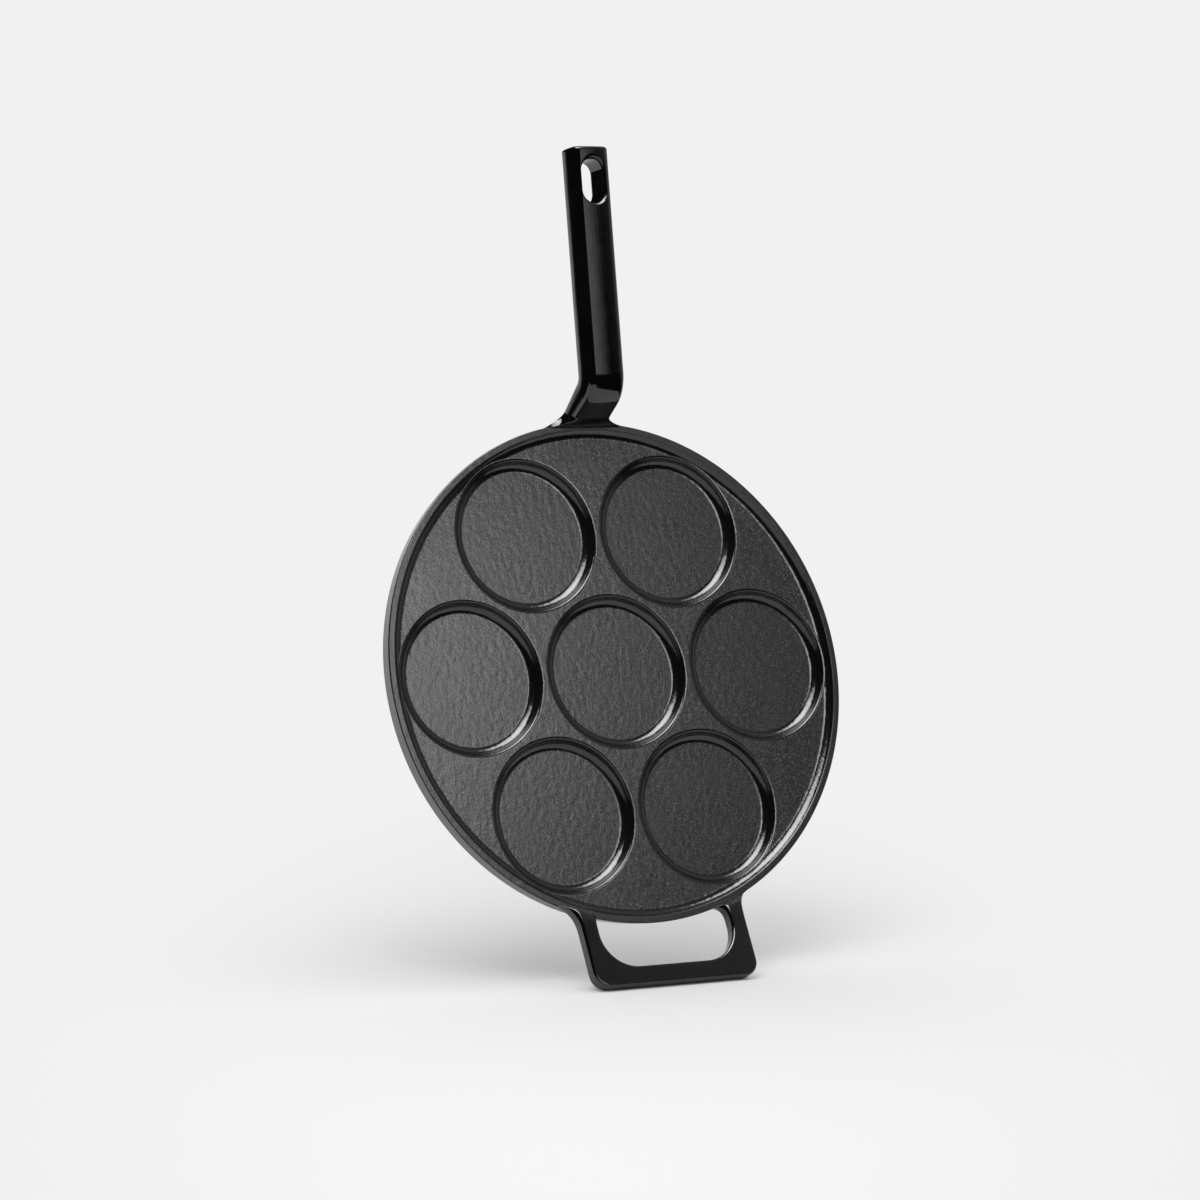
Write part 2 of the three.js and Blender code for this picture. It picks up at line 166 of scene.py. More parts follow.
class EnamelLook(bpy.types.PropertyGroup):
    """Colours and gloss of the two enamels"""

    gloss_colour: FloatVectorProperty(
        name="Gloss black", description="Outside and handles", size=3, subtype="COLOR",
        default=(0.0012, 0.0012, 0.0013), min=0, max=1)
    haze_colour: FloatVectorProperty(
        name="Gloss haze", description="Lighter clouds in the gloss black", size=3, subtype="COLOR",
        default=(0.0026, 0.0026, 0.0028), min=0, max=1)
    gloss_roughness: FloatProperty(
        name="Gloss roughness", description="Outside and handles", default=0.09, min=0, max=1,
        subtype="FACTOR")
    satin_colour: FloatVectorProperty(
        name="Satin black", description="Ground of the cooking face", size=3, subtype="COLOR",
        default=(0.004, 0.0046, 0.0044), min=0, max=1)
    fleck_colour: FloatVectorProperty(
        name="Satin fleck", description="Fine light grains in the satin", size=3, subtype="COLOR",
        default=(0.14, 0.155, 0.149), min=0, max=1)
    # Painted shade: the cup walls, rim wall and crest take a darker black without the light grain; only their
    # smoother gloss is real.
    shaded_wall_colour: FloatVectorProperty(
        name="Wall black", description="Cup walls, rim wall and crest", size=3, subtype="COLOR",
        default=(0.003, 0.0033, 0.0032), min=0, max=1)
    satin_roughness: FloatProperty(
        name="Satin roughness", description="Flat parts of the cooking face", default=0.28, min=0, max=1,
        subtype="FACTOR")
    wall_roughness: FloatProperty(
        name="Wall roughness", description="Cup and rim walls", default=0.14, min=0, max=1, subtype="FACTOR")
    crest_roughness: FloatProperty(
        name="Crest roughness", description="Top of the rim", default=0.3, min=0, max=1, subtype="FACTOR")


class StageLook(bpy.types.PropertyGroup):
    """Floor, light and camera"""

    paper: FloatVectorProperty(
        name="Paper", description="Floor and background", size=3, subtype="COLOR",
        default=(0.88, 0.88, 0.88), min=0, max=1)
    lens: FloatProperty(
        name="Lens", description="Focal length in millimetres", default=134.56, unit="CAMERA")
    fill: FloatProperty(name="Fill", description="Even light from all round", default=0.83, min=0)
    soft_power: FloatProperty(
        name="Soft light", description="Broad lamp for the floor and its shadow", default=20.0, unit="POWER")
    shine_power: FloatProperty(
        name="Overhead shine", description="Soft box that the walls mirror", default=9.5, unit="POWER")
    key_power: FloatProperty(
        name="Key shine", description="Small box that brightens the left cups", default=1.75, unit="POWER")


# Modelling helpers

MERGE_DISTANCE = 0.001 * MM
FACE_WEIGHT = 75


def deselect():
    """Leaves edit mode with nothing selected."""
    if bpy.context.object and bpy.context.object.mode != "OBJECT":
        bpy.ops.object.mode_set(mode="OBJECT")
    bpy.ops.object.select_all(action="DESELECT")


def arc(centre, radius, start, stop, steps):
    """Points of an arc in a flat outline, angles in radians."""
    turns = [start + (stop - start) * i / steps for i in range(steps + 1)]
    return [(centre[0] + radius * math.cos(a), centre[1] + radius * math.sin(a)) for a in turns]


def rounded_rectangle(left, right, low, high, corner, steps, crown=0.0, flats=0):
    """An anticlockwise outline from its right side, whose sides may swell by a crown."""
    centres = [(right - corner, high - corner), (left + corner, high - corner),
               (left + corner, low + corner), (right - corner, low + corner)]
    points = []
    for i, centre in enumerate(centres):
        quarter = arc(centre, corner, i * math.pi / 2, (i + 1) * math.pi / 2, steps)
        points += quarter
        following = centres[(i + 1) % 4]
        turn = (i + 1) * math.pi / 2
        out = Vector((math.cos(turn), math.sin(turn)))
        first = Vector(quarter[-1])
        last = Vector(following) + out * corner
        for k in range(1, flats + 1):
            share = k / (flats + 1)
            swell = crown * (1 - (2 * share - 1) ** 2)
            points.append(tuple(first.lerp(last, share) + out * swell))
    return points


def unit_round(flats):
    """A round of radius 1 with as many points as a rounded rectangle has."""
    return rounded_rectangle(-1, 1, -1, 1, FULL_ROUND, ROUND_STEPS, 0, flats)


def new_mesh(name):
    """A single point at the origin, in edit mode, ready to be extruded."""
    deselect()
    bpy.ops.mesh.primitive_plane_add(size=MM)
    piece = bpy.context.object
    piece.name = name
    piece.data.name = name
    bpy.ops.object.mode_set(mode="EDIT")
    bpy.ops.mesh.merge(type="CENTER")
    return piece


def close_mesh():
    """Merges doubles, turns the faces outwards and leaves edit mode."""
    bpy.ops.mesh.select_all(action="SELECT")
    bpy.ops.mesh.remove_doubles(threshold=MERGE_DISTANCE)
    bpy.ops.mesh.normals_make_consistent(inside=False)
    bpy.ops.object.mode_set(mode="OBJECT")


def turned(name, profile, steps):
    """Spins a profile of (radius, height) points about Z into a closed body."""
    piece = new_mesh(name)
    bpy.ops.transform.translate(value=(profile[0][0], 0, profile[0][1]))
    for (r0, z0), (r1, z1) in zip(profile, profile[1:]):
        bpy.ops.mesh.extrude_vertices_move(TRANSFORM_OT_translate={"value": (r1 - r0, 0, z1 - z0)})
    bpy.ops.mesh.select_all(action="SELECT")
    bpy.ops.mesh.spin(steps=steps, angle=2 * math.pi, center=(0, 0, 0), axis=(0, 0, 1))
    close_mesh()
    return piece


def swept(name, rings):
    """Extrudes one ring of points through the places of all the others, and caps both ends."""
    deselect()
    bpy.ops.mesh.primitive_circle_add(vertices=len(rings[0]), radius=MM, fill_type="NGON")
    piece = bpy.context.object
    piece.name = name
    piece.data.name = name
    bpy.ops.object.mode_set(mode="EDIT")
    mesh = bmesh.from_edit_mesh(piece.data)
    mesh.verts.ensure_lookup_table()
    front = list(mesh.verts)
    for vert, point in zip(front, rings[0]):
        vert.co = point
    for ring in rings[1:]:
        order = {tuple(vert.co): i for i, vert in enumerate(front)}
        bpy.ops.mesh.extrude_region_move()
        mesh = bmesh.from_edit_mesh(piece.data)
        front = sorted((v for v in mesh.verts if v.select), key=lambda v: order[tuple(v.co)])
        for vert, point in zip(front, ring):
            vert.co = point
        bmesh.update_edit_mesh(piece.data)
    close_mesh()
    return piece


def modify(piece, kind, **settings):
    """Adds a modifier and applies it."""
    deselect()
    bpy.context.view_layer.objects.active = piece
    piece.select_set(True)
    modifier = piece.modifiers.new(kind.title(), kind)
    for key, value in settings.items():
        setattr(modifier, key, value)
    bpy.ops.object.modifier_apply(modifier=modifier.name)


def cut(piece, cutter):
    """Takes a cutter out of a piece and deletes the cutter."""
    modify(piece, "BOOLEAN", operation="DIFFERENCE", solver="MANIFOLD", object=cutter)
    bpy.data.objects.remove(cutter)


def smooth(piece, angle):
    """Smooth shading with crisp edges past an angle, and flat faces that stay flat."""
    deselect()
    bpy.context.view_layer.objects.active = piece
    piece.select_set(True)
    bpy.ops.object.shade_smooth_by_angle(angle=angle)
    modify(piece, "WEIGHTED_NORMAL", mode="FACE_AREA", weight=FACE_WEIGHT, keep_sharp=True)


def hand_over(piece, node, material):
    """Puts a finished piece in the place of its solid."""
    piece.data.materials.clear()
    piece.data.materials.append(material)
    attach(piece, BODY)
    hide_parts(node)


# Shader graphs


class Wire:
    """A shader socket that takes part in sums."""

    def __init__(self, graph, socket):
        self.graph = graph
        self.socket = socket

    def sum(self, operation, first, second):
        return self.graph.node("ShaderNodeMath", {"operation": operation}, {0: first, 1: second})

    def __add__(self, other):
        return self.sum("ADD", self, other)

    def __sub__(self, other):
        return self.sum("SUBTRACT", self, other)

    def __rsub__(self, other):
        return self.sum("SUBTRACT", other, self)

    def __mul__(self, other):
        return self.sum("MULTIPLY", self, other)

    __radd__ = __add__
    __rmul__ = __mul__


class Graph:
    """A node tree that is written as expressions."""

    def __init__(self, owner):
        owner.use_nodes = True
        self.tree = owner.node_tree
        self.tree.nodes.clear()

    def node(self, kind, settings=None, inputs=None, output=0):
        """Adds a node, sets it up, fills or links its sockets, and gives one of its outputs."""
        made = self.tree.nodes.new(kind)
        for key, value in (settings or {}).items():
            setattr(made, key, value)
        for key, value in (inputs or {}).items():
            if isinstance(value, Wire):
                self.tree.links.new(value.socket, made.inputs[key])
            else:
                made.inputs[key].default_value = value
        return Wire(self, made.outputs[output]) if len(made.outputs) else made

    def noise(self, place, scale, detail=2.0, roughness=0.5):
        return self.node("ShaderNodeTexNoise", {}, {
            "Vector": place, "Scale": scale, "Detail": detail, "Roughness": roughness}, "Fac")

    def between(self, value, low, high):
        """A soft step from 0 to 1 between two values."""
        return self.node("ShaderNodeMapRange", {"interpolation_type": "SMOOTHSTEP"}, {
            "Value": value, "From Min": low, "From Max": high}, "Result")

    def dot(self, first, second):
        return self.vector("DOT_PRODUCT", first, second, output="Value")

    def blend(self, factor, first, second):
        return self.node("ShaderNodeMix", {"data_type": "RGBA"}, {0: factor, 6: first, 7: second}, 2)

    def vector(self, operation, *values, output=0):
        return self.node("ShaderNodeVectorMath", {"operation": operation}, dict(enumerate(values)), output)

    def rays(self):
        """Whether a ray comes from the camera, from gloss or through glass."""
        return [self.node("ShaderNodeLightPath", {}, {}, f"Is {kind} Ray")
                for kind in ("Camera", "Glossy", "Transmission")]

    def bump(self, height, distance, strength, below=None):
        """A normal raised by a height, on top of the bump below it."""
        inputs = {"Height": height, "Distance": distance, "Strength": strength}
        if below is not None:
            inputs["Normal"] = below
        return self.node("ShaderNodeBump", {}, inputs)


# Enamels: scales are grains to the metre, fades are millimetres from a level

ENAMEL_IOR = 1.6
WAVE_SCALE, WAVE_HEIGHT, WAVE_STRENGTH = 90.0, 0.22 * MM, 0.5
PEEL_SCALE, PEEL_HEIGHT, PEEL_STRENGTH = 420.0, 0.02 * MM, 0.3
PIT_SCALE, PIT_HEIGHT, PIT_STRENGTH = 900.0, 0.02 * MM, 0.25
PIT_EDGE, PIT_ROUGHENS = (0.72, 0.8), 0.12
HAZE_SCALE, HAZE_EDGE, HAZE_ROUGHENS = 38.0, (0.3, 0.75), 0.06
GRAIN_SCALE, GRAIN_HEIGHT, GRAIN_ROUGHENS = 1700.0, 0.03 * MM, 0.12
FINE_SCALE, FINE_SHARE = 2600.0, 0.4
FLECK_EDGE = (0.59, 0.72)
CLOUD_SCALE, CLOUD_ROUGHENS = 45.0, 0.08
RIPPLE_SCALE, RIPPLE_HEIGHT, RIPPLE_DRAWN = 320.0, 0.14 * MM, (1.0, 0.7, 1.0)
FLOOR_FADE = (0.008, 0.08)
LAND_FADE_IN = (-0.06, -0.006)
LAND_FADE_OUT = (0.008, 0.084)
CREST_FADE = (-0.5, -0.05)


def gloss_enamel(look):
    """Black vitreous enamel, fired to a wet gloss with a slow waviness."""
    material = bpy.data.materials.new("wet_black")
    g = Graph(material)
    place = g.node("ShaderNodeTexCoord", {}, {}, "Object")
    wave = g.noise(place, WAVE_SCALE, 1.0)
    peel = g.noise(place, PEEL_SCALE, 2.0)
    haze = g.noise(place, HAZE_SCALE, 3.0, 0.6)
    pits = g.between(g.noise(place, PIT_SCALE, 1.0), *PIT_EDGE)
    colour = g.blend(g.between(haze, *HAZE_EDGE), (*look.gloss_colour, 1), (*look.haze_colour, 1))
    roughness = look.gloss_roughness + (haze - 0.5) * HAZE_ROUGHENS + pits * PIT_ROUGHENS
    surface = g.bump(wave, WAVE_HEIGHT, WAVE_STRENGTH)
    surface = g.bump(peel, PEEL_HEIGHT, PEEL_STRENGTH, surface)
    surface = g.bump(1 - pits, PIT_HEIGHT, PIT_STRENGTH, surface)
    shader = g.node("ShaderNodeBsdfPrincipled", {}, {
        "Base Color": colour, "Roughness": roughness, "Normal": surface, "IOR": ENAMEL_IOR})
    g.node("ShaderNodeOutputMaterial", {}, {"Surface": shader})
    return material


def satin_enamel(look, pan):
    """Satin black enamel: a fine light grain on the flats; walls and crest are smoother, and their darker
    black without grain is painted shade.
    """
    material = bpy.data.materials.new("grained_satin")
    g = Graph(material)
    place = g.node("ShaderNodeTexCoord", {}, {}, "Object")
    level = g.node("ShaderNodeSeparateXYZ", {}, {"Vector": place}, "Z")

    def past(height, fade):
        return g.between(level, height + fade[0] * MM, height + fade[1] * MM)

    land = land_height(pan)
    on_floor = 1 - past(pan.floor_height, FLOOR_FADE)
    on_land = past(land, LAND_FADE_IN) * (1 - past(land, LAND_FADE_OUT))
    flat = on_floor + on_land
    on_crest = past(crest_height(pan), CREST_FADE)
    grain = g.noise(place, GRAIN_SCALE, 2.0, 0.7)
    fine = g.noise(place, FINE_SCALE, 1.0)
    cloud = g.noise(place, CLOUD_SCALE, 3.0, 0.55)
    ripple = g.noise(g.vector("MULTIPLY", place, RIPPLE_DRAWN), RIPPLE_SCALE)
    flecks = g.between(grain + (fine - 0.5) * FINE_SHARE, *FLECK_EDGE)
    ground = g.blend(flecks, (*look.satin_colour, 1), (*look.fleck_colour, 1))
    # Painted shade: off the flats, walls and crest take the darker wall black instead of the grained ground.
    colour = g.blend(flat, (*look.shaded_wall_colour, 1), ground)
    flat_rough = look.satin_roughness + (cloud - 0.5) * CLOUD_ROUGHENS + (grain - 0.5) * GRAIN_ROUGHENS
    wall_rough = look.wall_roughness + on_crest * (look.crest_roughness - look.wall_roughness)
    roughness = wall_rough + flat * (flat_rough - wall_rough)
    surface = g.bump(ripple, RIPPLE_HEIGHT, 1.0)
    surface = g.bump(grain, GRAIN_HEIGHT, 1.0, surface)
    shader = g.node("ShaderNodeBsdfPrincipled", {}, {
        "Base Color": colour, "Roughness": roughness, "Normal": surface, "IOR": ENAMEL_IOR})
    g.node("ShaderNodeOutputMaterial", {}, {"Surface": shader})
    return material


def enamel(name):
    """One of the two enamels, made when it is first asked for."""
    made = bpy.data.materials.get(name)
    if made:
        return made
    scene = bpy.context.scene
    if name == "wet_black":
        return gloss_enamel(scene.pan_enamel)
    return satin_enamel(scene.pan_enamel, scene.pan_sizes)


# Shapes that several pieces follow


def land_height(pan):
    return pan.floor_height + pan.cup_depth


def crest_height(pan):
    return land_height(pan) + pan.rim_rise


def eased_wall(radius, height, rise, slope, foot, lip, roll, steps):
    """A wall from a flat up to a higher one: a rounded foot at a radius, a rounded lip and a slow roll."""
    eased = lip * (math.cos(LIP_EASE) - math.cos(slope)) + roll * (1 - math.cos(LIP_EASE))
    straight = (rise - foot * (1 - math.cos(slope)) - eased) / math.sin(slope)
    run = foot * math.sin(slope) + straight * math.cos(slope)
    run += lip * (math.sin(slope) - math.sin(LIP_EASE)) + roll * math.sin(LIP_EASE)
    up = math.pi / 2
    top = (radius + run, height + rise - roll)
    inner = (top[0] - (roll - lip) * math.sin(LIP_EASE), top[1] + (roll - lip) * math.cos(LIP_EASE))
    return (arc((radius, height + foot), foot, -up, slope - up, steps)
            + arc(inner, lip, slope + up, LIP_EASE + up, steps)
            + arc(top, roll, LIP_EASE + up, up, steps)[1:])


class Skin:
    """The pan's outside in section: base, drafted wall, rounded edge and crest."""

    def __init__(self, pan):
        self.draft = pan.wall_draft
        self.base_round = pan.base_round
        self.edge_round = pan.rim_edge
        self.crest = crest_height(pan)
        self.edge = (pan.rim_radius - pan.rim_edge, self.crest - pan.rim_edge)
        plane = math.cos(self.draft) * self.edge[0] - math.sin(self.draft) * self.edge[1] + pan.rim_edge
        reach = (plane - pan.base_round * (1 - math.sin(self.draft))) / math.cos(self.draft)
        self.base = (reach, pan.base_round)
        self.base_length = pan.base_round * (math.pi / 2 - self.draft)
        self.edge_length = pan.rim_edge * (math.pi / 2 + self.draft)
        self.wall_foot = arc(self.base, self.base_round, -math.pi / 2, -self.draft, 1)[1]
        self.wall_head = arc(self.edge, self.edge_round, -self.draft, math.pi / 2, 1)[0]
        self.wall_length = math.dist(self.wall_foot, self.wall_head)

    def outside(self, steps):
        """The gloss part: base round, wall and the lower part of the edge."""
        return (arc(self.base, self.base_round, -math.pi / 2, -self.draft, steps)
                + arc(self.edge, self.edge_round, -self.draft, SATIN_EDGE, steps))

    def crown(self, steps):
        """The satin part: the rest of the edge, from the outside in."""
        return arc(self.edge, self.edge_round, SATIN_EDGE, math.pi / 2, steps)

    def at(self, climb):
        """Radius and height at a distance up the skin from the base."""
        if climb < self.base_length:
            angle = -math.pi / 2 + climb / self.base_round
            return arc(self.base, self.base_round, angle, angle, 1)[0]
        climb -= self.base_length
        if climb < self.wall_length:
            return tuple(Vector(self.wall_foot).lerp(Vector(self.wall_head), climb / self.wall_length))
        climb -= self.wall_length
        if climb < self.edge_length:
            angle = -self.draft + climb / self.edge_round
            return arc(self.edge, self.edge_round, angle, angle, 1)[0]
        climb -= self.edge_length
        return (self.edge[0] - climb, self.crest)

    def climb_to_crest(self, radius):
        """How far up the skin the crest's flat reaches a radius."""
        return self.base_length + self.wall_length + self.edge_length + self.edge[0] - radius

    def point(self, x, climb):
        radius, height = self.at(climb)
        return Vector((x, math.sqrt(radius ** 2 - x ** 2), height))


def way(slope):
    """Along a bar that rises at a slope."""
    return Vector((0, math.cos(slope), math.sin(slope)))


def above(slope):
    """Square to a bar that rises at a slope, on its upper side."""
    return Vector((0, -math.sin(slope), math.cos(slope)))


def flared_root(skin, section, outline, holds, slope, steps):
    """Rings from inside the wall out to a bar's first section.

    Each point follows the bar's own line to the wall, then the wall to its footprint. A hold of 1 eases the
    corner between the two as a cast fillet does, and a larger one keeps it tighter. The first ring is sunk
    behind the wall, between two shares of the crest's height.
    """
    wall = skin.edge[0]
    low, high = skin.crest * SUNK_LOW, skin.crest * SUNK_HIGH
    paths, sunk = [], []
    for start, (x, climb), hold in zip(section, outline, holds):
        end = skin.point(x, climb)
        to_wall = (start.y - math.sqrt(wall ** 2 - start.x ** 2)) / math.cos(slope)
        to_level = (start.z - end.z) / math.sin(slope)
        paths.append((start, start - way(slope) * min(to_wall, to_level), end, hold))
        flat = Vector((end.x, end.y, 0))
        sunk.append(flat * (wall / flat.length) + Vector((0, 0, min(max(end.z, low), high))))
    rings = [sunk]
    for i in range(steps, 0, -1):
        t = i / steps
        ring = []
        for start, corner, end, hold in paths:
            first, middle, last = (1 - t) ** 2, 2 * hold * t * (1 - t), t ** 2
            ring.append((start * first + corner * middle + end * last) / (first + middle + last))
        rings.append(ring)
    return rings


# Pieces: steps and flats are how finely a mesh is divided

PAN_STEPS = 256
CUP_STEPS = 128
ROUND_STEPS = 8
FLARE_STEPS = 18
BEND_STEPS = 16
GAP_STEPS = 10
BAR_FLATS = 5
LOOP_FLATS = 3
COAT_DEPTH = 0.6 * MM  # from a cup's floor down to the iron
SATIN_EDGE = math.radians(30)  # where the satin coat starts on the rim's outer edge
LIP_EASE = math.radians(14)  # slope where a lip goes over into its slow roll
BODY_CREASE = math.radians(40)
HANDLE_CREASE = math.radians(50)
FULL_ROUND = 0.999  # short of 1, so that no two points of an outline meet
CREST_MARGIN = 0.1 * MM  # from the bar's root to the inner edge of the crest
SUNK_LOW, SUNK_HIGH = 0.35, 0.7
ARM_HOLD, ARM_TOP_HOLD = 1.2, 1.8


class PAN_OT_body(bpy.types.Operator):
    """Turn the casting's outside: base, wall and the lower part of the rim's edge"""

    bl_idname = "pancake_pan.body"
    bl_label = "Pan body"

    def execute(self, context):
        pan = context.scene.pan_sizes
        seat = pan.floor_height - COAT_DEPTH
        profile = [(0, 0)] + Skin(pan).outside(ROUND_STEPS)
        profile += [(pan.crest_radius, seat), (0, seat)]
        piece = turned("pan_body", profile, PAN_STEPS)
        smooth(piece, BODY_CREASE)
        hand_over(piece, "pan_casting", enamel("wet_black"))
        return {"FINISHED"}


class PAN_OT_cooking_face(bpy.types.Operator):
    """Turn the cooking face inside the rim and sink its cups"""

    bl_idname = "pancake_pan.cooking_face"
    bl_label = "Cooking face"

    def execute(self, context):
        pan = context.scene.pan_sizes
        land = land_height(pan)
        under = pan.floor_height - COAT_DEPTH
        rim = eased_wall(pan.rim_foot_radius, land, pan.rim_rise, pan.rim_slope, pan.rim_foot, pan.rim_lip,
                         pan.rim_lip, ROUND_STEPS)
        profile = [(0, under), (pan.crest_radius, under)] + Skin(pan).crown(ROUND_STEPS)
        profile += rim[::-1] + [(0, land)]
        piece = turned("cooking_face", profile, PAN_STEPS)
        cut(piece, self.cups(pan))
        smooth(piece, BODY_CREASE)
        hand_over(piece, "cooking_enamel", enamel("grained_satin"))
        return {"FINISHED"}

    def cups(self, pan):
        """All the cups as one cutting body."""
        wall = eased_wall(0, pan.floor_height, pan.cup_depth, pan.cup_slope, pan.cup_foot, pan.cup_lip,
                          pan.cup_roll, ROUND_STEPS)
        shift = pan.cup_radius - wall[-1][0]
        top = crest_height(pan) + pan.cup_depth
        profile = [(0, pan.floor_height)] + [(r + shift, z) for r, z in wall]
        profile += [(pan.cup_radius, top), (0, top)]
        cups = turned("cups", profile, CUP_STEPS)
        turn = 2 * math.pi / pan.outer_cups
        places = [(0, 0)] + [(pan.cup_pitch * math.cos(i * turn), pan.cup_pitch * math.sin(i * turn))
                             for i in range(pan.outer_cups)]
        bpy.ops.object.mode_set(mode="EDIT")
        bpy.ops.mesh.select_all(action="SELECT")
        for (x0, y0), (x1, y1) in zip(places, places[1:]):
            bpy.ops.mesh.duplicate_move(TRANSFORM_OT_translate={"value": (x1 - x0, y1 - y0, 0)})
        bpy.ops.object.mode_set(mode="OBJECT")
        return cups


class PAN_OT_bar_handle(bpy.types.Operator):
    """Sweep the bar handle from its flared root to its tip and cut the hang slot"""

    bl_idname = "pancake_pan.bar_handle"
    bl_label = "Bar handle"

    def execute(self, context):
        pan, bar = context.scene.pan_sizes, context.scene.pan_handles
        skin = Skin(pan)
        crest = crest_height(pan)
        bend = Vector((0, pan.rim_radius + bar.neck_reach, crest + bar.neck_lift))
        tangent = bar.neck_bend * math.tan((bar.neck_slope - bar.bar_tilt) / 2)
        bend_centre = bend - way(bar.neck_slope) * tangent - above(bar.neck_slope) * bar.neck_bend
        rings = [self.neck_foot(bar, bend, crest)]
        for i in range(BEND_STEPS + 1):
            slope = bar.neck_slope + (bar.bar_tilt - bar.neck_slope) * i / BEND_STEPS
            rings.append(self.section(bar, bend_centre + above(slope) * bar.neck_bend, slope, 0))
        run = (bar.bar_reach - bar.neck_reach) / math.cos(bar.bar_tilt)
        for along, clear in arc((run - bar.tip_round, 0), bar.tip_round, math.pi / 2, 0, ROUND_STEPS):
            at = bend + way(bar.bar_tilt) * along
            rings.append(self.section(bar, at, bar.bar_tilt, bar.tip_round - clear))
        half = bar.bar_width / 2 + bar.neck_flare
        top = skin.climb_to_crest(pan.crest_radius + CREST_MARGIN)
        middle, tall = (top + bar.root_low) / 2, (top - bar.root_low) / 2
        oval = [(half * u, middle + tall * v) for u, v in unit_round(BAR_FLATS)]
        root = flared_root(skin, rings[0], oval, [1.0] * len(oval), bar.neck_slope, FLARE_STEPS)
        piece = swept("bar_handle", root + rings)
        cut(piece, self.slot(bar, bend + way(bar.bar_tilt) * (run - bar.slot_from_tip)))
        smooth(piece, HANDLE_CREASE)
        hand_over(piece, "long_handle", enamel("wet_black"))
        return {"FINISHED"}

    def outline(self, bar, thickness, inset):
        """The bar in section, drawn in all round by an inset."""
        side, half = bar.bar_width / 2 - inset, thickness / 2 - inset
        return rounded_rectangle(-side, side, -half, half, bar.bar_round - inset, ROUND_STEPS, bar.bar_crown,
                                 BAR_FLATS)

    def section(self, bar, at, slope, inset):
        """A ring square to the bar."""
        outline = self.outline(bar, bar.bar_thickness, inset)
        return [at + above(slope) * h + Vector((x, 0, 0)) for x, h in outline]

    def neck_foot(self, bar, bend, crest):
        """The neck's lowest section, on a slant: high on the cooking side and low outside."""
        direction = way(bar.neck_slope)
        ring = []
        for x, h in self.outline(bar, bar.neck_thickness, 0):
            point = bend + above(bar.neck_slope) * h + Vector((x, 0, 0))
            share = h / bar.neck_thickness + 0.5
            height = bar.neck_back + (crest + bar.neck_front - bar.neck_back) * share
            ring.append(point + direction * ((height - point.z) / direction.z))
        return ring

    def slot(self, bar, middle):
        """A long round-ended hole whose mouth opens out towards both faces."""
        half = bar.bar_thickness / 2 + bar.bar_crown
        lip = arc((half - bar.slot_lip, bar.slot_lip), bar.slot_lip, -math.pi / 2, 0, ROUND_STEPS)
        levels = lip + [(half + bar.slot_lip, bar.slot_lip)]
        levels = [(-h, grown) for h, grown in reversed(levels)] + levels
        rings = []
        for height, grown in levels:
            side, end = bar.slot_width / 2 + grown, bar.slot_length / 2 + grown
            outline = rounded_rectangle(-side, side, -end, end, side * FULL_ROUND, 2 * ROUND_STEPS)
            rings.append([middle + Vector((x, 0, 0)) + way(bar.bar_tilt) * y + above(bar.bar_tilt) * height
                          for x, y in outline])
        return swept("slot", rings)


